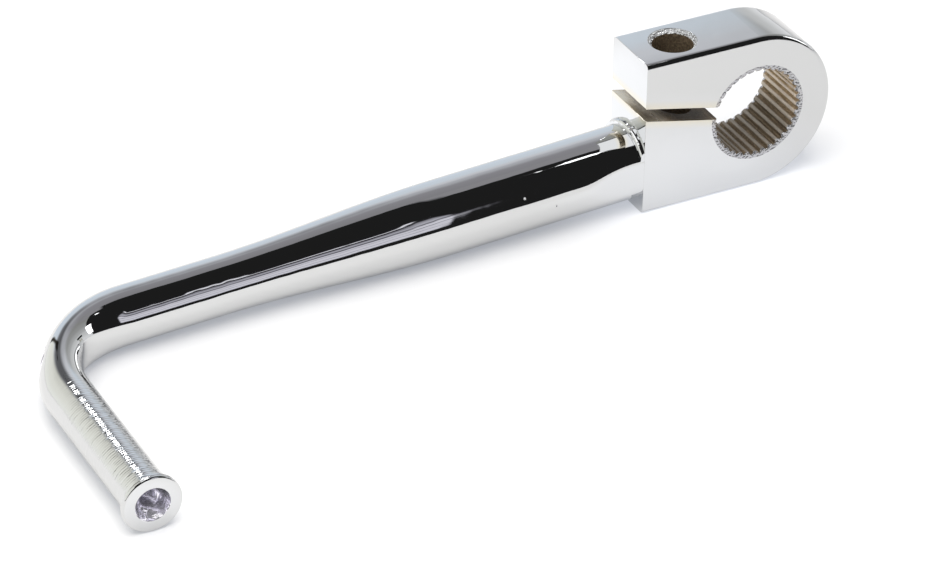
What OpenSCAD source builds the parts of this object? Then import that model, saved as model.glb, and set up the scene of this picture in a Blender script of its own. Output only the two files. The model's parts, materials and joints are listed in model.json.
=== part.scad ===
// Kick start lever for a motorbike: a slit clamp head with a serrated bore, a turned bar that
// is bent into a foot peg, and the weld that joins head and bar. All of it is chrome plated.
// The lever lies as it comes to rest: on the head's underside and on the flange of the peg.
// Origin: on the bore axis, halfway through the head. Y is the bore axis, and -Y is the side
// that the peg points to. X runs along the head, with the arm on the -X side. Z is up.

/* [Clamp head] */
// Radius of the round end, which is half the height of the head
head_r = 17; // [15.5:0.5:21]
// Thickness of the head, along the bore
head_t = 14; // [12.5:0.5:15]
// From the bore axis to the flat end that carries the arm
head_back = 25.8; // [25:0.2:34]
// Rounding that polishing left on the long edges
edge_r = 1; // [0.5:0.1:1.6]

/* [Serrated bore] */
// Number of teeth around the whole circle
teeth = 34; // [28:1:36]
// Diameter of the bore across the bottoms of the grooves
bore_d = 20; // [17:0.5:21]
// Height of a tooth
tooth_h = 0.7; // [0.5:0.05:0.9]
// Width of the flat at the tip of a tooth
tooth_tip = 0.62; // [0.55:0.01:0.75]
// Chamfer that runs across the ends of the teeth
bore_mouth = 0.45; // [0.2:0.05:0.6]
// Turn of the first groove up from the head's long axis, in degrees
groove_turn = 1; // [0:0.5:10]

/* [Slit and pinch bolt hole] */
// Width of the slit
slit_w = 2.7; // [1.5:0.1:4]
// How far the slit climbs away from the bore, in degrees
slit_tilt = 12.8; // [0:0.2:15]
// Diameter of the hole for the pinch bolt
bolt_d = 8.4; // [6:0.2:9]
// From the bore axis to the axis of the pinch bolt
bolt_x = 16.3; // [15.5:0.1:19]
// Chamfer at both mouths of the bolt hole
bolt_mouth = 0.8; // [0.3:0.1:1.2]

/* [Arm] */
// Diameter of the thick end of the bar, at the head
arm_d = 15.5; // [15.2:0.1:18]
// Diameter of the bar after its taper
thin_d = 11.6; // [10:0.2:13]
// Length of the thick end
thick_len = 42; // [20:1:55]
// Length of the taper
taper_len = 50; // [20:1:50]
// From the head to the corner where the axes of bar and peg meet
arm_len = 131.4; // [131:0.2:220]
// How far the bar leans out to the peg's side, in degrees
splay = 2.2; // [0:0.2:6]
// Height of the bar's underside above the head's underside, at the head
arm_lift = 1.2; // [1.2:0.1:2]

/* [Bend and peg] */
// Radius of the bend, at the middle of the bar
bend_r = 20.6; // [17:0.2:24]
// Width of the bar halfway round the bend, where bending squeezed it
bend_w = 8.2; // [7:0.1:10]
// Height of the bar halfway round the bend
bend_h = 11.2; // [9:0.1:11.4]
// Diameter of the turned peg
peg_d = 9.5; // [8:0.1:11]
// From the corner of the axes to the end face of the peg
peg_len = 57.9; // [45:0.1:90]
// Diameter of the flange that keeps the rubber on
flange_d = 11.7; // [11.2:0.1:15]
// Thickness of the flange
flange_t = 1.5; // [1:0.1:3]
// Rounding of the flange's edges
flange_edge = 0.4; // [0.2:0.05:0.5]

/* [Centre hole in the peg] */
// Diameter of the mouth
centre_d = 7; // [4:0.1:7.4]
// Diameter of the pilot hole behind it
pilot_d = 2.6; // [2:0.1:3.2]
// Depth of the pilot hole, from the end face
pilot_depth = 7; // [5:0.5:12]

/* [Weld] */
// Leg of the weld bead on the bar and on the head
weld_leg = 1; // [0.6:0.1:2.4]
// How far the face of the bead bulges
weld_crown = 0.25; // [0.1:0.05:0.5]
// Radius of the belt roll that ground both sides of the joint flush with the head
belt_r = 60; // [40:5:100]

/* [Hidden] */
$fn = 96;

// Cutters reach this far past what they cut
past = 1;
// Longer than the whole lever
far = 400;

// Bore
root_r = bore_d / 2;
tip_r = root_r - tooth_h;
tooth_pitch = 360 / teeth;
// Half angle that the tip of a tooth takes up
tip_half = asin(tooth_tip / 2 / tip_r);
// Half angle of the narrow flat at the bottom of a groove
groove_half = 0.9;

bolt_r = bolt_d / 2;

// Bar, laid along +X from the head's flat end, with the peg on its +Y side
arm_r = arm_d / 2;
thin_r = thin_d / 2;
taper_steps = 16;
arm_z = arm_lift + arm_r - head_r;
bend_turn = 90 - splay;
bend_reach = bend_r * tan(bend_turn / 2);
bend_start = arm_len - bend_reach;

// Peg
peg_r = peg_d / 2;
flange_r = flange_d / 2;
centre_r = centre_d / 2;
pilot_r = pilot_d / 2;
// Slopes of a centre drill: a mouth of 60 degrees and a drill point of 118 degrees
mouth_half = 30;
point_half = 59;

// The bar dips away from the head until the flange stands on the same ground
arm_dip = asin((arm_z + head_r - flange_r) / (arm_len * cos(splay)));

// The bend is a row of ovals that starts inside the bar and ends inside the peg. The ovals are a
// trace smaller, so that bar and peg each end in a narrow flat ring around them.
bend_rings = 26;
bend_sides = 44;
bend_seat = 0.6;
bend_lap = 0.4;
bend_inset = 0.08;

function blend(a, b, t) = a + (b - a) * t;
function ease(t) = (1 - cos(180 * t)) / 2;

// Half the oval's size, from the bar's radius to the peg's by way of the middle of the bend
function bend_half(middle, t) =
    blend(thin_r, peg_r, ease(t))
    + (middle / 2 - (thin_r + peg_r) / 2) * pow(sin(180 * t), 1.5)
    - bend_inset;

// Point of the oval at share t of the bend, with its angle counted from the inner side
function bend_point(t, a) =
    let (r = bend_r - bend_half(bend_w, t) * cos(a))
    [
        bend_start + r * sin(t * bend_turn),
        bend_r - r * cos(t * bend_turn),
        bend_half(bend_h, t) * sin(a)
    ];

function bend_ring(t, run_on) =
    [for (k = [0 : bend_sides - 1]) bend_point(t, 360 * k / bend_sides) + run_on];

// Places what is drawn along +X on the bar's axis, from where the bar leaves the head
module at_arm() {
    translate([-head_back, 0, arm_z])
        rotate([0, -arm_dip, 0])
            rotate([0, 0, 180 + splay])
                children();
}

// Places what is drawn along +Z on the peg's axis, from the corner of the two axes
module at_peg() {
    translate([arm_len, 0, 0])
        rotate([0, 0, -splay])
            rotate([-90, 0, 0])
                children();
}

// Space on the arm's side of the head's flat end, down to a given height
module arm_side(low_z) {
    translate([-head_back - far, -far / 2, low_z])
        cube([far, far, far]);
}

// The belt rolls, tangent to both sides of the head at its flat end
module belt_rolls() {
    for (side = [-1, 1])
        translate([-head_back, side * (head_t / 2 + belt_r), -far / 2])
            cylinder(r = belt_r, h = far, $fn = 200);
}

// Section of the head: X is its height and Y its thickness
module head_section() {
    flat_x = head_r - edge_r;
    flat_y = head_t / 2 - edge_r;
    square([2 * flat_x, head_t], center = true);
    square([2 * head_r, 2 * flat_y], center = true);
    for (x = [-flat_x, flat_x], y = [-flat_y, flat_y])
        translate([x, y])
            circle(r = edge_r);
}

module head_blank() {
    rotate([90, 0, 0])
        rotate([0, 0, -90])
            rotate_extrude(angle = 180)
                intersection() {
                    head_section();
                    translate([0, -head_t])
                        square([2 * head_r, 2 * head_t]);
                }
    rotate([0, -90, 0])
        linear_extrude(height = head_back)
            head_section();
}

// One groove between two teeth, around +X, reaching back into the open bore
module groove() {
    edge = tooth_pitch / 2 - tip_half;
    inner_r = tip_r - past;
    polygon([
        [inner_r * cos(edge), -tip_r * sin(edge)],
        [tip_r * cos(edge), -tip_r * sin(edge)],
        [root_r * cos(groove_half), -root_r * sin(groove_half)],
        [root_r * cos(groove_half), root_r * sin(groove_half)],
        [tip_r * cos(edge), tip_r * sin(edge)],
        [inner_r * cos(edge), tip_r * sin(edge)]
    ]);
}

module serrated_bore() {
    rotate([90, 0, 0])
        linear_extrude(height = head_t + 2 * past, center = true) {
            circle(r = tip_r);
            for (i = [0 : teeth - 1])
                rotate(groove_turn + i * tooth_pitch)
                    groove();
        }
    // The chamfer across the ends of the teeth
    for (side = [-90, 90])
        rotate([side, 0, 0])
            translate([0, 0, head_t / 2 - bore_mouth])
                cylinder(r1 = tip_r, r2 = tip_r + bore_mouth + past, h = bore_mouth + past);
}

module slit() {
    rotate([0, slit_tilt, 0])
        translate([-2 * head_back, -head_t, -slit_w / 2])
            cube([2 * head_back, 2 * head_t, slit_w]);
}

module bolt_hole() {
    translate([-bolt_x, 0, 0]) {
        cylinder(r = bolt_r, h = 2 * (head_r + past), center = true);
        for (side = [0, 180])
            rotate([side, 0, 0])
                translate([0, 0, head_r - bolt_mouth])
                    cylinder(r1 = bolt_r, r2 = bolt_r + bolt_mouth + past, h = bolt_mouth + past);
    }
}

module clamp_head() {
    color("gainsboro")
        difference() {
            head_blank();
            serrated_bore();
            slit();
            bolt_hole();
        }
}

// Straight part of the bar: thick at the head, then tapered, then thin up to the bend
module bar() {
    rotate([0, 90, 0])
        rotate_extrude()
            polygon(concat(
                [[0, -past], [arm_r, -past]],
                [
                    for (i = [0 : taper_steps])
                        let (t = i / taper_steps)
                        [blend(arm_r, thin_r, ease(t)), thick_len + taper_len * t]
                ],
                [[thin_r, bend_start + bend_lap], [0, bend_start + bend_lap]]
            ));
}

module bend() {
    peg_way = [sin(splay), cos(splay), 0];
    rings = concat(
        [bend_ring(0, [-bend_seat, 0, 0])],
        [for (i = [0 : bend_rings]) bend_ring(i / bend_rings, [0, 0, 0])],
        [bend_ring(1, bend_seat * peg_way)]
    );
    last = len(rings) - 1;
    polyhedron(
        points = [for (ring = rings, p = ring) p],
        faces = concat(
            [[for (k = [0 : bend_sides - 1]) k]],
            [
                for (i = [0 : last - 1], k = [0 : bend_sides - 1])
                    let (next = (k + 1) % bend_sides, a = i * bend_sides, b = a + bend_sides)
                    [a + k, b + k, b + next, a + next]
            ],
            [[for (k = [bend_sides - 1 : -1 : 0]) last * bend_sides + k]]
        ),
        convexity = 4
    );
}

// Turned peg with its flange and the centre hole that the lathe left
module peg() {
    peg_start = bend_reach - bend_lap;
    mouth_end = peg_len - (centre_r - pilot_r) / tan(mouth_half);
    pilot_end = peg_len - pilot_depth;
    round_r = flange_r - flange_edge;
    at_peg()
        rotate_extrude()
            polygon(concat(
                [[0, peg_start], [peg_r, peg_start], [peg_r, peg_len - flange_t]],
                [
                    for (a = [-90 : 22.5 : 0])
                        [round_r + flange_edge * cos(a), peg_len - flange_t + flange_edge * (1 + sin(a))]
                ],
                [
                    for (a = [0 : 22.5 : 90])
                        [round_r + flange_edge * cos(a), peg_len - flange_edge * (1 - sin(a))]
                ],
                [
                    [centre_r, peg_len],
                    [pilot_r, mouth_end],
                    [pilot_r, pilot_end],
                    [0, pilot_end - pilot_r / tan(point_half)]
                ]
            ));
}

module arm() {
    color("silver")
        intersection() {
            difference() {
                at_arm() {
                    bar();
                    bend();
                    peg();
                }
                belt_rolls();
            }
            arm_side(-far / 2);
        }
}

// Fillet between the top of the bar and the head's flat end. The belt ground it away at both sides,
// and the bar's underside is too close to the ground for a weld.
module weld_bead() {
    crown_steps = 6;
    color("lightgrey")
        intersection() {
            difference() {
                at_arm()
                    rotate([0, 90, 0])
                        rotate_extrude()
                            polygon(concat(
                                [[arm_r, -past], [arm_r + weld_leg, -past]],
                                [
                                    for (i = [0 : crown_steps])
                                        let (t = i / crown_steps, rise = weld_crown * sin(180 * t))
                                        [arm_r + weld_leg * (1 - t) + rise, weld_leg * t + rise]
                                ]
                            ));
                belt_rolls();
            }
            arm_side(arm_z);
        }
}

clamp_head();
arm();
weld_bead();
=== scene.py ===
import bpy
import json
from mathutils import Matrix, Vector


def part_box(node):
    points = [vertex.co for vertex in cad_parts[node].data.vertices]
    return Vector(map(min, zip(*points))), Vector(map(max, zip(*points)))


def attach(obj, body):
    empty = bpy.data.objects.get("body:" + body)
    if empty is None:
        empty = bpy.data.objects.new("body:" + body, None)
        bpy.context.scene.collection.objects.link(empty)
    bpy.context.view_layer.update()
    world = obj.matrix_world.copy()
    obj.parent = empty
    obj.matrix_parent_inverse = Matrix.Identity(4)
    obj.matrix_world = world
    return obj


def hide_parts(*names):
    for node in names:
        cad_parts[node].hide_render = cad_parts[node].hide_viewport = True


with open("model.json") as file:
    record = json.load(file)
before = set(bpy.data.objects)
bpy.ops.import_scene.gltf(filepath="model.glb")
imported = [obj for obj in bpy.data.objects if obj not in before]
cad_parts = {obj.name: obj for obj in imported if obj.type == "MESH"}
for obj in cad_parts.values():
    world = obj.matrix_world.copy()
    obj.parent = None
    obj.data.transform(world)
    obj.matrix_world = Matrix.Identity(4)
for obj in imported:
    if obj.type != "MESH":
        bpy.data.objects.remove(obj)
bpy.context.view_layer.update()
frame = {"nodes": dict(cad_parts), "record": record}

import json
import math
import bpy
from mathutils import Euler, Matrix, Vector

# Clamp head: a steel block, forged, drilled and broached with teeth, then slit and buffed all over.
# Chrome plate covers what the buffing wheel reached. The bore, the slit and the bolt hole lie too deep
# for the plating bath, so their walls are bare brown steel with a thin edge of nickel.
MM = 0.001
head = frame["nodes"]["clamp_head"]
head_low, head_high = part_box("clamp_head")
head_back = -head_low.x
head_r = head_high.z
head_t = head_high.y - head_low.y
mounts = {mount["name"]: mount for mount in frame["record"]["mounts"]}
tip_r = mounts["spline_bore"]["dims"]["r_mm"] * MM
tooth_h = 0.7 * MM
rubbed_h = 0.25 * tooth_h
bore_mouth = head_t / 2 - mounts["spline_bore"]["dims"]["length_mm"] * MM / 2
bolt_x = -mounts["pinch_bolt_hole"]["pos_m"][0]
bolt_r = mounts["pinch_bolt_hole"]["dims"]["r_mm"] * MM
bolt_depth = mounts["pinch_bolt_hole"]["dims"]["length_mm"] * MM / 2
bolt_mouth = 0.75 * MM
slit_w = 2.7 * MM
slit_tilt = math.radians(12.8)
slit_plated = 6.5 * MM
darkest_from_bolt = 1 * MM
nickel_w = 1.8 * MM
nickel_end = 7 * MM
wall_skin = 0.02 * MM
mouth_skin = 0.1 * MM
edge_ease = 0.2 * MM
haze_per_mm = 0.5
waves_per_mm = 0.16
wave_height = 1 * MM
grains_per_mm = 2.2
grain_height = 0.6 * MM
streaks_per_mm = 1.2
streak_stretch = (3.0, 0.25, 3.0)
chips_per_mm = 2.0
chip_height = 2.6 * MM
crown_per_mm2 = 0.0045

CHROME = "#D8D9DA"
NICKEL = "#E4D8B8"
BARE_STEEL = "#A49074"
BARE_STEEL_DARK = "#5A4B3B"
RUBBED_STEEL = "#D6D2CC"
DULL_PLATE = "#97959A"


def linear(hex_colour):
    """Turns an sRGB hex colour into the linear RGBA that a shader takes."""
    channels = [int(hex_colour[i:i + 2], 16) / 255 for i in (1, 3, 5)]
    return [c / 12.92 if c <= 0.04045 else ((c + 0.055) / 1.055) ** 2.4 for c in channels] + [1]


def set_inputs(tree, node, inputs):
    """Sets a node's inputs to plain values, sockets, or nodes, whose first output in use it takes."""
    for name, value in inputs.items():
        if isinstance(value, bpy.types.Node):
            value = next(output for output in value.outputs if output.enabled)
        if isinstance(value, bpy.types.NodeSocket):
            tree.links.new(value, node.inputs[name])
        else:
            node.inputs[name].default_value = value


def add(tree, kind, inputs, **settings):
    """Adds one shader node with its settings and its inputs, which are named or in the node's own order."""
    node = tree.nodes.new("ShaderNode" + kind)
    for name, value in settings.items():
        setattr(node, name, value)
    set_inputs(tree, node, inputs if isinstance(inputs, dict) else dict(enumerate(inputs)))
    return node


def set_stops(ramp, stops):
    """Gives a colour ramp its stops, each a position and a hex colour."""
    elements = ramp.color_ramp.elements
    while len(elements) < len(stops):
        elements.new(0.5)
    for element, (position, hex_colour) in zip(elements, stops):
        element.position = position
        element.color = linear(hex_colour)


def new_material(name):
    """Makes an empty node material and returns it with its tree, its shader and Object coordinates in mm.
    On these the scale of a pattern is how many of its grains or waves a millimetre holds."""
    material = bpy.data.materials.new(name)
    material.use_nodes = True
    tree = material.node_tree
    place = add(tree, "TexCoord", {}).outputs["Object"]
    in_mm = add(tree, "Mapping", {"Vector": place, "Scale": (1 / MM, 1 / MM, 1 / MM)})
    return material, tree, tree.nodes["Principled BSDF"], in_mm


def from_axis(tree, one, other):
    """Distance from an axis, worked out from the two coordinates across it."""
    square = add(tree, "Math", (other, other), operation="MULTIPLY")
    squares = add(tree, "Math", (one, one, square), operation="MULTIPLY_ADD")
    return add(tree, "Math", (squares,), operation="SQRT")


def polish(tree, in_mm, below):
    """Chrome plate over a buffed surface: soft waves of some mm, and a faint haze that varies."""
    haze = add(tree, "TexNoise", {"Vector": in_mm, "Scale": haze_per_mm, "Detail": 4.0})
    rough = add(tree, "MapRange", (haze, 0.3, 0.8, 0.015, 0.05))
    waves = add(tree, "TexNoise", {"Vector": in_mm, "Scale": waves_per_mm, "Detail": 1.0})
    buffed = add(tree, "Bump", {"Height": waves, "Normal": below, "Strength": 0.06, "Distance": wave_height})
    return rough, buffed


# To the eye the plate is a clear mirror that waves a little, and the bare steel a dull streaky brown.
# The masks below rise to 1 on the walls of the bore, the slit and the bolt hole, and are 0 elsewhere.
plated, tree, shader, in_mm = new_material("chrome_plate_over_bare_bore")
x, y, z = add(tree, "SeparateXYZ", {"Vector": in_mm}).outputs
from_bore = from_axis(tree, x, z)
from_middle = add(tree, "Math", (y,), operation="ABSOLUTE")
near_axis = add(tree, "Math", (from_bore, (tip_r + tooth_h + wall_skin) / MM), operation="LESS_THAN")
bore_half = head_t / 2 - bore_mouth
below_mouths = add(tree, "Math", (from_middle, (bore_half - wall_skin) / MM), operation="LESS_THAN")
in_bore = add(tree, "Math", (near_axis, below_mouths), operation="MULTIPLY")
tilted_x = add(tree, "Math", (x, math.sin(slit_tilt)), operation="MULTIPLY")
slit_z = add(tree, "Math", (z, math.cos(slit_tilt), tilted_x), operation="MULTIPLY_ADD")
slit_away = add(tree, "Math", (slit_z,), operation="ABSOLUTE")
from_slit = add(tree, "Math", (slit_away, slit_w / 2 / MM), operation="SUBTRACT")
near_slit = add(tree, "Math", (from_slit, wall_skin / MM), operation="LESS_THAN")
slit_side = add(tree, "Math", (x, 0.0), operation="LESS_THAN")
slit_walls = add(tree, "Math", (near_slit, slit_side), operation="MULTIPLY")
# The plate reached some way into the slit's outer end
unplated = add(tree, "MapRange", (x, -head_back / MM, (slit_plated - head_back) / MM, 0.15, 1.0),
               interpolation_type="SMOOTHSTEP")
in_slit = add(tree, "Math", (slit_walls, unplated), operation="MULTIPLY")
bolt_side = add(tree, "Math", (x, bolt_x / MM), operation="ADD")
from_bolt = from_axis(tree, bolt_side, y)
from_plane = add(tree, "Math", (z,), operation="ABSOLUTE")
near_bolt = add(tree, "Math", (from_bolt, (bolt_r + wall_skin) / MM), operation="LESS_THAN")
below_chamfers = add(tree, "Math", (from_plane, bolt_depth / MM), operation="LESS_THAN")
in_bolt = add(tree, "Math", (near_bolt, below_chamfers), operation="MULTIPLY")
slit_or_bolt = add(tree, "Math", (in_slit, in_bolt), operation="MAXIMUM")
bare = add(tree, "Math", (in_bore, slit_or_bolt), operation="MAXIMUM")

# Bare steel: its grain, drawn as coarse as it needs to show, and streaks that the broach left along the bore
grain = add(tree, "TexNoise", {"Vector": in_mm, "Scale": grains_per_mm, "Detail": 6.0, "Roughness": 0.7})
drag = add(tree, "Mapping", {"Vector": in_mm, "Scale": streak_stretch})
broached = add(tree, "TexNoise", {"Vector": drag, "Scale": streaks_per_mm, "Detail": 3.0})
streaks = add(tree, "Math", (broached, 0.4), operation="ADD")
tone = add(tree, "Math", (grain, streaks), operation="MULTIPLY")
steel = add(tree, "ValToRGB", {"Fac": tone})
set_stops(steel, [(0.25, BARE_STEEL_DARK), (0.62, BARE_STEEL)])
tooth_tips = add(tree, "MapRange", (from_bore, (tip_r + rubbed_h) / MM, tip_r / MM, 0.0, 0.4))
rubbed = add(tree, "Mix", {"Factor": tooth_tips, "A": steel, "B": linear(RUBBED_STEEL)}, data_type="RGBA")
# Painted shade darkens the slit halfway along, near the bolt hole, and the bolt hole's walls too; painted
# light makes the slit lighter towards its two ends
from_darkest = add(tree, "Math", (x, (bolt_x - darkest_from_bolt) / MM), operation="ADD")
darkest_away = add(tree, "Math", (from_darkest,), operation="ABSOLUTE")
slit_painted_shade = add(tree, "MapRange", (darkest_away, 2.0, 10.0, 0.75, -0.5), interpolation_type="SMOOTHSTEP")
shaded_walls = add(tree, "Math", (in_bolt, 0.6, in_slit), operation="MULTIPLY_ADD")
painted_dark = add(tree, "Math", (slit_painted_shade, shaded_walls), operation="MULTIPLY")
slit_shading = add(tree, "Math", (1.0, painted_dark), operation="SUBTRACT")
# Painted shade at the bottom of the bore, and painted light that makes its far side brighter
bore_slope = add(tree, "Math", (x, z), operation="ADD")
bore_shade_and_light = add(tree, "MapRange", (bore_slope, 2.0, 11.0, -0.42, 0.95))
bore_shading = add(tree, "Math", (bore_shade_and_light, in_bore, 1.0), operation="MULTIPLY_ADD")
painted_shading = add(tree, "Math", (slit_shading, bore_shading), operation="MULTIPLY")
walls = add(tree, "VectorMath", {"Vector": rubbed, "Scale": painted_shading}, operation="SCALE")

# Plate: a patchy yellow edge of nickel along the slit, and a duller coat on the chamfer of the bore
slit_fade = add(tree, "MapRange", (from_slit, 0.0, nickel_w / MM, 1.0, 0.0))
beside_bore = add(tree, "Math", (x, -nickel_end / MM), operation="LESS_THAN")
patches = add(tree, "Math", (grain, beside_bore), operation="MULTIPLY")
slit_edge = add(tree, "Math", (slit_fade, patches), operation="MULTIPLY")
plate = add(tree, "Mix", {"Factor": slit_edge, "A": linear(CHROME), "B": linear(NICKEL)}, data_type="RGBA")
ring_r = tip_r + tooth_h + bore_mouth + mouth_skin
round_bore = add(tree, "Math", (from_bore, ring_r / MM), operation="LESS_THAN")
outer_ends = add(tree, "Math", (from_middle, bore_half / MM), operation="GREATER_THAN")
on_bore_mouth = add(tree, "Math", (round_bore, outer_ends), operation="MULTIPLY")
half_worn = add(tree, "Math", (on_bore_mouth, 0.5), operation="MULTIPLY")
worn_plate = add(tree, "Mix", {"Factor": half_worn, "A": plate, "B": linear(DULL_PLATE)}, data_type="RGBA")
colour = add(tree, "Mix", {"Factor": bare, "A": worn_plate, "B": walls}, data_type="RGBA")

# Relief: eased edges, a top that buffing rounded more towards its slit end, and rough walls
eased_edge = add(tree, "Bevel", {"Radius": edge_ease}, samples=6)
more_crown = add(tree, "MapRange", (x, -12.0, -26.0, 1.0, 1.6))
y_squared = add(tree, "Math", (y, y), operation="MULTIPLY")
crown_rise = add(tree, "Math", (y_squared, crown_per_mm2), operation="MULTIPLY")
crown_height = add(tree, "Math", (crown_rise, more_crown), operation="MULTIPLY")
crown = add(tree, "Bump", {"Height": crown_height, "Normal": eased_edge, "Distance": -MM})
wall_depth = add(tree, "Math", (bare, 0.6), operation="MULTIPLY")
rough_wall = add(tree, "Bump", {"Height": tone, "Normal": crown, "Strength": wall_depth,
                                "Distance": grain_height})
# Drill and broach left ragged chamfers at the mouths of the bolt hole and the bore
round_bolt = add(tree, "Math", (from_bolt, (bolt_r + bolt_mouth) / MM), operation="LESS_THAN")
above_hole = add(tree, "Math", (from_plane, bolt_depth / MM), operation="GREATER_THAN")
on_bolt_mouth = add(tree, "Math", (round_bolt, above_hole), operation="MULTIPLY")
chips = add(tree, "TexNoise", {"Vector": in_mm, "Scale": chips_per_mm, "Detail": 0.0})
bolt_chips = add(tree, "Math", (on_bolt_mouth, 0.85), operation="MULTIPLY")
bore_chips = add(tree, "Math", (on_bore_mouth, 0.4), operation="MULTIPLY")
chip_depth = add(tree, "Math", (bolt_chips, bore_chips), operation="MAXIMUM")
ragged = add(tree, "Bump", {"Height": chips, "Normal": rough_wall, "Strength": chip_depth,
                            "Distance": chip_height})
plate_rough, plate_normal = polish(tree, in_mm, ragged)
wall_rough = add(tree, "Math", (bare, 0.42, plate_rough), operation="MULTIPLY_ADD")
# The plate is matt where it covers torn metal
bolt_matt = add(tree, "Math", (on_bolt_mouth, 0.35), operation="MULTIPLY")
matt = add(tree, "Math", (on_bore_mouth, 0.15, bolt_matt), operation="MULTIPLY_ADD")
dull = add(tree, "Math", (bare, 0.45, matt), operation="MULTIPLY_ADD")
shine = add(tree, "Math", (1.0, dull), operation="SUBTRACT")
set_inputs(tree, shader, {"Base Color": colour, "Metallic": shine, "Roughness": wall_rough,
                          "Normal": plate_normal})
head.data.materials.clear()
head.data.materials.append(plated)

# Arm: one steel bar, turned to its taper, bent cold into the foot peg and squeezed in the bend, then
# buffed and chromed. Its two sides are belt ground flush with the head where the weld joins them.
# The peg kept its fine turning marks, and its end face the flange and the lathe's centre hole.
arm_r = 7.75 * MM
thin_r = 5.8 * MM
arm_root = 2 * MM
thick_len = 42 * MM
taper_len = 50 * MM
arm_len = 131.4 * MM
splay = math.radians(2.2)
arm_lift = 1.2 * MM
bend_r = 20.6 * MM
bend_w = 8.2 * MM
bend_h = 11.2 * MM
peg_r = 4.75 * MM
peg_len = 57.9 * MM
flange_r = 5.85 * MM
flange_t = 1.5 * MM
flange_edge = 0.4 * MM
centre_r = 3.5 * MM
centre_slope = math.radians(30)
pilot_r = 1.3 * MM
pilot_depth = 7 * MM
pilot_slope = math.radians(59)
pilot_tip = 0.01 * pilot_r
belt_r = 60 * MM
belt_len = 20 * MM
belt_blend = 0.12 * MM
arm_sides = 128
ring_step = 1.5 * MM
taper_rings = 40
bend_rings = 60
peg_rings = 24
edge_rings = 6
crease = math.radians(28)
arm_z = arm_lift + arm_r - head_r
bend_turn = math.pi / 2 - splay
bend_reach = bend_r * math.tan(bend_turn / 2)
bend_start = arm_len - bend_reach
arm_dip = math.asin((arm_z + head_r - flange_r) / (arm_len * math.cos(splay)))
at_arm = (Matrix.Translation((-head_back, 0, arm_z)) @ Matrix.Rotation(-arm_dip, 4, "Y")
          @ Matrix.Rotation(math.pi + splay, 4, "Z"))


def ease(t):
    """Goes from 0 to 1 with a level start and end."""
    return (1 - math.cos(math.pi * t)) / 2


def deselect():
    """Leaves edit mode and deselects every object."""
    if bpy.context.object and bpy.context.object.mode != "OBJECT":
        bpy.ops.object.mode_set(mode="OBJECT")
    bpy.ops.object.select_all(action="DESELECT")


def next_ring(along, scale, centre):
    """Extrudes the selected ring by a step and scales it about its centre."""
    bpy.ops.mesh.extrude_region_move(TRANSFORM_OT_translate={"value": along})
    bpy.ops.transform.resize(value=scale, center_override=centre)


deselect()
bpy.ops.mesh.primitive_circle_add(vertices=arm_sides, radius=arm_r, location=(-arm_root, 0, 0),
                                  rotation=(0, math.pi / 2, 0))
arm = bpy.context.object
arm.name = "chromed_arm"
bpy.ops.object.transform_apply(location=True, rotation=True, scale=True)
bpy.ops.object.mode_set(mode="EDIT")
bpy.ops.mesh.select_all(action="SELECT")

# Straight bar: thick, then tapered, then thin
stations = [i * ring_step for i in range(int(thick_len / ring_step) + 1)]
stations += [thick_len + taper_len * i / taper_rings for i in range(1, taper_rings + 1)]
stations += [bend_start]
place, radius = -arm_root, arm_r
for station in stations:
    share = min(max((station - thick_len) / taper_len, 0), 1)
    wanted = arm_r + (thin_r - arm_r) * ease(share)
    next_ring((station - place, 0, 0), (1, wanted / radius, wanted / radius), (station, 0, 0))
    place, radius = station, wanted

# Bend: each ring is turned back, scaled to its oval and turned on around the centre of the bend
bend_centre = (bend_start, bend_r, 0)
mean_r = (thin_r + peg_r) / 2
wide = high = thin_r
for i in range(1, bend_rings + 1):
    share = i / bend_rings
    plain = thin_r + (peg_r - thin_r) * ease(share)
    squeeze = math.sin(math.pi * share) ** 1.5
    new_wide = plain + (bend_w / 2 - mean_r) * squeeze
    new_high = plain + (bend_h / 2 - mean_r) * squeeze
    bpy.ops.mesh.extrude_region_move(TRANSFORM_OT_translate={"value": (0, 0, 0)})
    back = (i - 1) * bend_turn / bend_rings
    onward = -i * bend_turn / bend_rings
    oval = (1, new_wide / wide, new_high / high)
    bpy.ops.transform.rotate(value=back, orient_axis="Z", center_override=bend_centre)
    bpy.ops.transform.resize(value=oval, center_override=(bend_start, 0, 0))
    bpy.ops.transform.rotate(value=onward, orient_axis="Z", center_override=bend_centre)
    wide, high = new_wide, new_high

# Peg with flange and centre hole, along its own axis
peg_way = Vector((math.sin(splay), math.cos(splay), 0))
corner = Vector((arm_len, 0, 0))
flange_start = peg_len - flange_t
round_r = flange_r - flange_edge
profile = [(bend_reach + (flange_start - bend_reach) * i / peg_rings, peg_r) for i in range(1, peg_rings + 1)]
profile += [(flange_start, round_r)]
quarter = [math.pi / 2 * i / edge_rings for i in range(edge_rings + 1)]
profile += [(flange_start + flange_edge * (1 - math.cos(a)), round_r + flange_edge * math.sin(a))
            for a in quarter[1:]]
profile += [(peg_len - flange_edge * (1 - math.cos(a)), round_r + flange_edge * math.sin(a))
            for a in reversed(quarter)]
profile += [(peg_len, centre_r), (peg_len - (centre_r - pilot_r) / math.tan(centre_slope), pilot_r)]
profile += [(peg_len - pilot_depth, pilot_r),
            (peg_len - pilot_depth - (pilot_r - pilot_tip) / math.tan(pilot_slope), pilot_tip)]
place, radius = bend_reach, peg_r
for along, wanted in profile:
    ratio = wanted / radius
    next_ring(peg_way * (along - place), (ratio, ratio, ratio), corner + peg_way * along)
    place, radius = along, wanted
bpy.ops.mesh.merge(type="CENTER")
bpy.ops.mesh.select_all(action="SELECT")
bpy.ops.mesh.normals_make_consistent(inside=False)
bpy.ops.object.mode_set(mode="OBJECT")
arm.matrix_world = at_arm
bpy.ops.object.transform_apply(location=True, rotation=True, scale=True)

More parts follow.
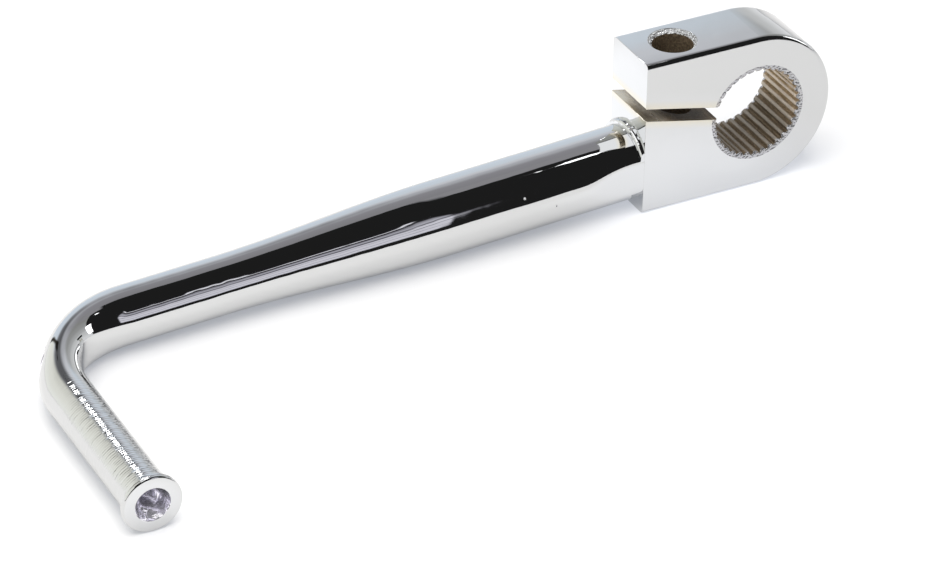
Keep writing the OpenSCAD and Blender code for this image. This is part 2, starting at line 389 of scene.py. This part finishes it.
# Cut to the head's flat end, then belt ground on both sides
bpy.ops.object.mode_set(mode="EDIT")
bpy.ops.mesh.select_all(action="SELECT")
bpy.ops.mesh.bisect(plane_co=(-head_back, 0, 0), plane_no=(1, 0, 0), use_fill=True, clear_outer=True)
bpy.ops.object.mode_set(mode="OBJECT")


def ground(x, y):
    """Where the belt leaves a point of the bar's side, with a soft edge where the flat runs out."""
    run = min(-head_back - x, 0.9 * belt_r)
    limit = head_t / 2 + belt_r - math.sqrt(belt_r ** 2 - run ** 2)
    over = (abs(y) - limit) / belt_blend
    taken = belt_blend * math.log1p(math.exp(over)) if over < 30 else abs(y) - limit
    return math.copysign(abs(y) - taken, y)


for vertex in arm.data.vertices:
    if vertex.co.x > -head_back - belt_len:
        vertex.co.y = ground(vertex.co.x, vertex.co.y)
bpy.ops.object.shade_smooth_by_angle(angle=crease)

# The plate on the bar is a clear mirror. The peg shows it broken up by grooves 0.6 mm apart that the
# lathe left, which fade out towards the bend. The wave texture has a period of 0.314 at scale 1.
wave_period = 0.314
feed_pitch = 0.6
feed_depth = 0.02 * MM
marks_start = 22 * MM
marks_full = 36 * MM
peg_side = 140 * MM
scratches_per_mm = (0.09, 1.15, 0.09)
scratch_height = 0.4 * MM
tears_per_mm = 0.42
torn_height = 3 * MM
pits_per_mm = 0.17
pit_share = 0.05
pit_depth = 0.3 * MM
DRILLED = "#F2F0FA"
drawn, tree, shader, in_mm = new_material("chrome_plate_on_turned_bar")
axes = add(tree, "SeparateXYZ", {"Vector": in_mm}).outputs
along_peg = add(tree, "MapRange", (axes["Y"], -marks_start / MM, -marks_full / MM, 0.0, 1.0))
past_bend = add(tree, "Math", (axes["X"], -peg_side / MM), operation="LESS_THAN")
on_peg = add(tree, "Math", (along_peg, past_bend), operation="MULTIPLY")
across = add(tree, "Mapping", {"Vector": in_mm, "Scale": scratches_per_mm})
scratches = add(tree, "TexNoise", {"Vector": across, "Scale": 1.0, "Detail": 3.0, "Roughness": 0.6})
scratch_depth = add(tree, "Math", (on_peg, 0.4), operation="MULTIPLY")
worn = add(tree, "Bump", {"Height": scratches, "Strength": scratch_depth, "Distance": scratch_height})
feed = add(tree, "TexWave", {"Vector": in_mm, "Scale": wave_period / feed_pitch, "Distortion": 2.5,
                             "Detail": 2.0, "Detail Scale": 0.5}, bands_direction="Y")
turned = add(tree, "Bump", {"Height": feed.outputs["Fac"], "Normal": worn, "Strength": on_peg,
                            "Distance": feed_depth})
# Centre hole: drilled rough, and hardly reached by the plate
peg_end = at_arm @ (corner + peg_way * peg_len)
from_end = add(tree, "Mapping", {"Vector": in_mm, "Location": [-c / MM for c in peg_end]})
hole_x, hole_y, hole_z = add(tree, "SeparateXYZ", {"Vector": from_end}).outputs
from_hole = from_axis(tree, hole_x, hole_z)
near_hole = add(tree, "Math", (from_hole, (centre_r + wall_skin) / MM), operation="LESS_THAN")
behind_end = add(tree, "Math", (hole_y, wall_skin / MM), operation="GREATER_THAN")
in_hole = add(tree, "Math", (near_hole, behind_end), operation="MULTIPLY")
drilled = add(tree, "TexNoise", {"Vector": in_mm, "Scale": tears_per_mm, "Detail": 0.0})
torn_depth = add(tree, "Math", (in_hole, 0.9), operation="MULTIPLY")
torn = add(tree, "Bump", {"Height": drilled, "Normal": turned, "Strength": torn_depth,
                          "Distance": torn_height})
# Dust under the plate: a few pits some tenths of a millimetre wide
dust = add(tree, "TexVoronoi", {"Vector": in_mm, "Scale": pits_per_mm})
pit = add(tree, "MapRange", (dust, 0.0, pit_share, 0.0, 1.0))
pitted = add(tree, "Bump", {"Height": pit, "Normal": torn, "Strength": 1.0, "Distance": pit_depth})
plate_rough, plate_normal = polish(tree, in_mm, pitted)
hole_rough = add(tree, "Math", (in_hole, 0.04, plate_rough), operation="MULTIPLY_ADD")
hole_dull = add(tree, "Math", (in_hole, 0.22), operation="MULTIPLY")
shine = add(tree, "Math", (1.0, hole_dull), operation="SUBTRACT")
colour = add(tree, "Mix", {"Factor": in_hole, "A": linear(CHROME), "B": linear(DRILLED)}, data_type="RGBA")
set_inputs(tree, shader, {"Base Color": colour, "Metallic": shine, "Roughness": hole_rough,
                          "Normal": plate_normal})
arm.data.materials.append(drawn)
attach(arm, "root")
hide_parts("arm")

# Weld: a single bead of filler over the bar, laid in short ripples, chromed with the rest. At both
# sides the belt ground it away. To the eye it is a mirror broken up by small soft lumps.
lumps_per_mm = 0.7
lump_height = 0.6 * MM
weld = frame["nodes"]["weld_bead"]
welded, tree, shader, in_mm = new_material("chrome_plate_on_weld_metal")
ripple = add(tree, "TexNoise", {"Vector": in_mm, "Scale": lumps_per_mm, "Detail": 1.0})
lumps = add(tree, "Bump", {"Height": ripple, "Strength": 0.3, "Distance": lump_height})
set_inputs(tree, shader, {"Normal": lumps})
shader.inputs["Base Color"].default_value = linear(CHROME)
shader.inputs["Metallic"].default_value = 1.0
shader.inputs["Roughness"].default_value = 0.06
weld.data.materials.clear()
weld.data.materials.append(welded)

# Table: matt white paper, which ends shortly in front of the lever, and a floor of the same paper that
# the chrome doesn't show. A part of their brightness is a glow, stronger for the eye than for the chrome.
ground_z = -head_r
table_x = -0.1
table_front = -0.15
table_width = 1.6
table_depth = 1.1
floor_width = 8
floor_drop = 0.2 * MM
fibres_per_mm = 0.4
fibre_height = 0.4 * MM
table_glow = 0.2
table_lift = 0.14
PAPER = "#B0AEAB"
PAPER_GLOW = "#E6ECF8"
deselect()
bpy.ops.mesh.primitive_plane_add(size=1, location=(table_x, table_front + table_depth / 2, ground_z))
table = bpy.context.object
table.name = "table"
table.scale = (table_width, table_depth, 1)
paper, tree, shader, in_mm = new_material("matt_white_table")
# The paper's fibres are drawn coarser than they are, as far as they need to show
fibres = add(tree, "TexNoise", {"Vector": in_mm, "Scale": fibres_per_mm, "Detail": 5.0})
paper_bump = add(tree, "Bump", {"Height": fibres, "Strength": 0.05, "Distance": fibre_height})
to_eye = add(tree, "LightPath", {}).outputs["Is Camera Ray"]
lit = add(tree, "Math", (to_eye, table_lift, table_glow), operation="MULTIPLY_ADD")
# Light that the polished head throws back on the paper before its front and beside its flat end, and the
# end of the peg before it: place, inner and outer radius of each spot in mm, and its strength
for spot_x, spot_y, inner_r, outer_r, bounce in ((-8, -12, 6, 40, 0.28), (-42, 34, 16, 40, 0.34),
                                                 (-155, -74, 4, 14, 0.14)):
    from_spot = add(tree, "VectorMath", (in_mm, (spot_x, spot_y, ground_z / MM)), operation="DISTANCE")
    bounced = add(tree, "MapRange", (from_spot, inner_r, outer_r, bounce, 0.0),
                  interpolation_type="SMOOTHSTEP")
    lit = add(tree, "Math", (lit, bounced), operation="ADD")
set_inputs(tree, shader, {"Emission Strength": lit, "Normal": paper_bump})
shader.inputs["Base Color"].default_value = linear(PAPER)
shader.inputs["Emission Color"].default_value = linear(PAPER_GLOW)
shader.inputs["Roughness"].default_value = 0.9
table.data.materials.append(paper)
bpy.ops.object.transform_apply(location=True, rotation=True, scale=True)
deselect()
bpy.ops.mesh.primitive_plane_add(size=floor_width, location=(0, 0, ground_z - floor_drop))
floor = bpy.context.object
floor.name = "floor"
floor.data.materials.append(paper)
floor.visible_glossy = False

# Light tent: a dome of white cloth that is open towards the camera and shows only in the chrome. Its
# opening, and the dark room beyond, give the broad black band along the arm. It is darker at the top.
focus = Vector((-0.09, -0.01, -0.008))
tent_r = 1.3
tent_foot = -0.02
opening = Vector((0.32, 0.88, -0.30)).normalized()
tent_light = 1.45
tent_fill = 0.4
seam_x = -0.139
seam_bow = 1.16
seam_top = 0.64
halo_side = (176, 40)
WHITE = "#FFFFFF"
SEAM = "#3A3834"
BACK_WALL = [(0.0, "#C3CCD6"), (0.42, "#C0C8D0"), (0.54, "#BEC0C5"), (0.68, "#A2A3A7"), (0.8, "#828185"),
             (0.93, "#7C7B7E")]
RIGHT_WALL = [(0.0, "#CDCECF"), (0.26, "#B6B7B7"), (0.42, "#9E9F9F"), (0.6, "#8B8C8B"), (0.8, "#7B7B79")]
LEFT_WALL = [(0.0, "#E0E1DB"), (0.4, "#D6D6CE"), (0.62, "#C4C4BC"), (0.8, "#9A9A96")]


def direction(azimuth, elevation):
    """Unit vector with its azimuth from -Y towards +X, in degrees."""
    a, e = math.radians(azimuth), math.radians(elevation)
    return Vector((math.cos(e) * math.sin(a), -math.cos(e) * math.cos(a), math.sin(e)))


def glow(name, hex_colour, strength):
    """Makes a plain emitting material and returns it with its tree and its light."""
    material = bpy.data.materials.new(name)
    material.use_nodes = True
    tree = material.node_tree
    tree.nodes.clear()
    light = add(tree, "Emission", {"Color": linear(hex_colour), "Strength": strength})
    add(tree, "OutputMaterial", {"Surface": light})
    return material, tree, light


deselect()
bpy.ops.mesh.primitive_uv_sphere_add(segments=64, ring_count=32, radius=tent_r, location=(0, 0, 0))
tent = bpy.context.object
tent.name = "light_tent"
bpy.ops.object.mode_set(mode="EDIT")
bpy.ops.mesh.select_all(action="SELECT")
bpy.ops.mesh.bisect(plane_co=(0, 0, 0), plane_no=opening, clear_inner=True)
bpy.ops.mesh.select_all(action="SELECT")
bpy.ops.mesh.bisect(plane_co=(0, 0, tent_foot), plane_no=(0, 0, 1), clear_inner=True)
bpy.ops.object.mode_set(mode="OBJECT")
tent.location = focus
cloth, tree, light = glow("tent_cloth", WHITE, tent_light)
place = add(tree, "TexCoord", {}).outputs["Object"]
axes = add(tree, "SeparateXYZ", {"Vector": place}).outputs
height = add(tree, "Math", (axes["Z"], tent_r), operation="DIVIDE")
side = add(tree, "Math", (axes["X"], tent_r), operation="DIVIDE")
shades = []
for stops in (BACK_WALL, RIGHT_WALL, LEFT_WALL):
    shade = add(tree, "ValToRGB", {"Fac": height})
    shade.color_ramp.interpolation = "EASE"
    set_stops(shade, stops)
    shades.append(shade)
back_shade, right_shade, left_shade = shades
to_right = add(tree, "MapRange", (side, 0.44, 0.64, 0.0, 1.0), interpolation_type="SMOOTHSTEP")
to_left = add(tree, "MapRange", (side, -0.06, -0.2, 0.0, 1.0), interpolation_type="SMOOTHSTEP")
back_right = add(tree, "Mix", {"Factor": to_right, "A": back_shade, "B": right_shade}, data_type="RGBA")
inside = add(tree, "Mix", {"Factor": to_left, "A": back_right, "B": left_shade}, data_type="RGBA")
# The seam between the back and the left wall bows to the right as it rises
raised = add(tree, "Math", (height, 0.0), operation="MAXIMUM")
bow = add(tree, "Math", (raised, 4.0), operation="POWER")
seam_at = add(tree, "Math", (bow, seam_bow, seam_x), operation="MULTIPLY_ADD")
seam_side = add(tree, "Math", (side, seam_at), operation="SUBTRACT")
from_seam = add(tree, "Math", (seam_side,), operation="ABSOLUTE")
seam = add(tree, "MapRange", (from_seam, 0.035, 0.008, 0.0, 1.0), interpolation_type="SMOOTHSTEP")
below_top = add(tree, "Math", (height, seam_top), operation="LESS_THAN")
seam_shown = add(tree, "Math", (seam, below_top), operation="MULTIPLY")
seamed = add(tree, "Mix", {"Factor": seam_shown, "A": inside, "B": linear(SEAM)}, data_type="RGBA")
# The cloth is dimmed around the lamp behind it
from_lamp = add(tree, "VectorMath", (place, direction(*halo_side) * tent_r), operation="DISTANCE")
halo = add(tree, "MapRange", (from_lamp, 0.13, 0.42, 0.25, 1.0), interpolation_type="SMOOTHSTEP")
shaded = add(tree, "VectorMath", {"Vector": seamed, "Scale": halo}, operation="SCALE")
to_paper = add(tree, "LightPath", {}).outputs["Is Diffuse Ray"]
tent_strength = add(tree, "Math", (to_paper, tent_fill, tent_light), operation="MULTIPLY_ADD")
set_inputs(tree, light, {"Color": shaded, "Strength": tent_strength})
tent.data.materials.append(cloth)
tent.visible_camera = False

# Lamps and cards that show in the chrome as highlights and dark edges. Each stands where the solved
# camera sees its reflection in the photo. The near ones show over a short stretch of the lever only.
peg_top = Vector((-0.158, -0.045, -0.007))
joint = Vector((-0.035, -0.006, 0.002))
beside_joint = joint - Vector((0.006, 0, 0))
flat_end = Vector((-head_back, 0, 0.008))
flap_light = 1.43
dark_gap = (0.011, 0.011, 0.011)
DARK_GAP = "#303034"
FLAP = "#828184"
WARM_WALL = "#E8E8E2"
SLATS = [(0.035, "#1A1A1C"), (0.05, "#BFBEC6"), (0.19, "#C9C8D0"), (0.215, "#8A8991"), (0.24, "#C4C3CB"),
         (0.4, "#C0BFC7"), (0.43, "#4A494F"), (0.46, "#D0CFD7"), (0.55, "#BAB9C1"), (0.585, "#4A494F"),
         (0.66, "#A8A7AF"), (0.76, "#84838A"), (0.82, "#2E2D31"), (0.87, "#2A292C"), (0.91, "#F4F3FA"),
         (0.95, "#1A1A1C")]


def card(name, azimuth, elevation, width, height, colour, strength, roll=0.0, reach=1.1, seen_from=focus,
         falls_on_table=True):
    """A glowing card that faces the lever, with its width and height in degrees as the lever sees it.
    Returns the tree and the light of its material."""
    deselect()
    way = direction(azimuth, elevation)
    bpy.ops.mesh.primitive_plane_add(size=1, location=seen_from + way * reach)
    piece = bpy.context.object
    piece.name = name
    turn = way.to_track_quat("Z", "Y") @ Euler((0, 0, math.radians(roll))).to_quaternion()
    piece.rotation_euler = turn.to_euler()
    half_width, half_height = math.radians(width / 2), math.radians(height / 2)
    piece.scale = (2 * reach * math.tan(half_width), 2 * reach * math.tan(half_height), 1)
    material, tree, light = glow(name, colour, strength)
    piece.data.materials.append(material)
    piece.visible_camera = False
    piece.visible_diffuse = falls_on_table
    piece.visible_shadow = falls_on_table
    return tree, light


card("lamp_behind", 173, 47, 13, 4, WHITE, 16.0, roll=12, seen_from=peg_top)
card("right_lamp", 75, 18, 9, 25, WHITE, 3.0, roll=-12)
card("right_gap", 96, 14, 12, 5, DARK_GAP, 0.3, reach=1.05)
card("near_lamp", 72, 64, 4, 2.4, WHITE, 2.6, reach=0.35, seen_from=joint)
card("left_wall", 275, 25, 50, 45, WARM_WALL, 1.3)
# White sheet over the flat end of the head, which the bar shows again beside the weld
card("end_sheet", 270, 62, 44, 34, WHITE, 1.5, reach=0.25, seen_from=flat_end, falls_on_table=False)
# Flap of the tent that hangs near the head, and fades out along the bar
tree, light = card("tent_flap", 110.3, 66.5, 12, 17, FLAP, flap_light, reach=0.35,
                   seen_from=beside_joint, falls_on_table=False)
place = add(tree, "TexCoord", {}).outputs["Object"]
along_bar = add(tree, "SeparateXYZ", {"Vector": place}).outputs["Y"]
fade = add(tree, "MapRange", (along_bar, 0.5, 0.3, 0.0, flap_light), interpolation_type="SMOOTHSTEP")
set_inputs(tree, light, {"Strength": fade})
# Window with a blind: bright and dark slats, bent a little, that run out to the right
tree, light = card("front_window", 19.5, 25.5, 22, 41, WHITE, 1.43)
place = add(tree, "TexCoord", {}).outputs["Object"]
pane = add(tree, "SeparateXYZ", {"Vector": place}).outputs
streak = add(tree, "Mapping", {"Vector": place, "Scale": (2.2, 9.0, 1.0)})
bent = add(tree, "TexNoise", {"Vector": streak, "Scale": 1.0, "Detail": 2.0})
pane_height = add(tree, "Math", (pane["Y"], 0.43), operation="ADD")
bent_height = add(tree, "Math", (bent, 0.14, pane_height), operation="MULTIPLY_ADD")
lower_left = add(tree, "MapRange", (pane["X"], 0.12, 0.32, 1.17, 1.0), interpolation_type="SMOOTHSTEP")
rise = add(tree, "Math", (bent_height, lower_left), operation="MULTIPLY")
slats = add(tree, "ValToRGB", {"Fac": rise})
set_stops(slats, SLATS)
tip_side = add(tree, "Math", (rise, 0.57), operation="SUBTRACT")
from_tip = add(tree, "Math", (tip_side,), operation="ABSOLUTE")
reach_right = add(tree, "Math", (from_tip, 0.33, pane["X"]), operation="MULTIPLY_ADD")
run_out = add(tree, "MapRange", (reach_right, 0.48, 0.38, 0.0, 1.0), interpolation_type="SMOOTHSTEP")
reach_left = add(tree, "Math", (rise, -0.5, pane["X"]), operation="MULTIPLY_ADD")
run_in = add(tree, "MapRange", (reach_left, -0.5, -0.42, 0.0, 1.0), interpolation_type="SMOOTHSTEP")
shown = add(tree, "Math", (run_in, run_out), operation="MULTIPLY")
faded = add(tree, "VectorMath", {"Vector": slats, "Scale": shown}, operation="SCALE")
blind = add(tree, "VectorMath", (faded, dark_gap), operation="MAXIMUM")
set_inputs(tree, light, {"Color": blind})

# Two soft lamps overhead, which light the lever and the table. The chrome doesn't show them, so that the
# tent's opening stays dark in it.
lamp_away = 0.5
for name, azimuth, elevation, power, size in (("key_light", 325, 70, 3.2, 0.45),
                                              ("back_light", 195, 58, 1.3, 0.45)):
    deselect()
    way = direction(azimuth, elevation)
    bpy.ops.object.light_add(type="AREA", location=focus + way * lamp_away)
    lamp = bpy.context.object
    lamp.name = name
    lamp.data.size = size
    lamp.data.energy = power
    lamp.rotation_euler = way.to_track_quat("Z", "Y").to_euler()
    lamp.visible_glossy = False

# Surroundings: a dark room for the chrome, and a pale one for the eye and for the light on the table,
# because the photo's background is a clean white that the chrome doesn't reflect.
room_light = 0.016
world = bpy.data.worlds.new("dark_room")
bpy.context.scene.world = world
world.use_nodes = True
tree = world.node_tree
tree.nodes.clear()
ray = add(tree, "LightPath", {}).outputs
room = add(tree, "Background", {"Color": linear(WHITE), "Strength": room_light})
pale = add(tree, "Background", {"Color": linear(WHITE), "Strength": 1.0})
seen = add(tree, "Math", (ray["Is Camera Ray"], ray["Is Diffuse Ray"]), operation="MAXIMUM")
both = add(tree, "MixShader", (seen, room, pale))
add(tree, "OutputWorld", {"Surface": both})

# Camera, as solved from the photo: its place in mm, the way it looks and its right-hand side, and its
# focal length in pixels of a picture 939 wide.
camera_place = Vector((-400.58, -648.40, 441.76)) * MM
look = Vector((0.39048789, 0.7456485, -0.53993289))
right = Vector((0.88935203, -0.45706603, 0.01198408))
image_w = 939
focal_px = 4350.7
sensor = 36.0
up = right.cross(look)
turn = Matrix((right, up, -look)).transposed().to_4x4()
camera_data = bpy.data.cameras.new("camera")
camera = bpy.data.objects.new("camera", camera_data)
bpy.context.scene.collection.objects.link(camera)
camera.matrix_world = Matrix.Translation(camera_place) @ turn
camera_data.sensor_width = sensor
camera_data.lens = focal_px / image_w * sensor
camera_data.clip_start = 0.01
bpy.context.scene.camera = camera
bpy.context.scene.view_settings.view_transform = "Standard"
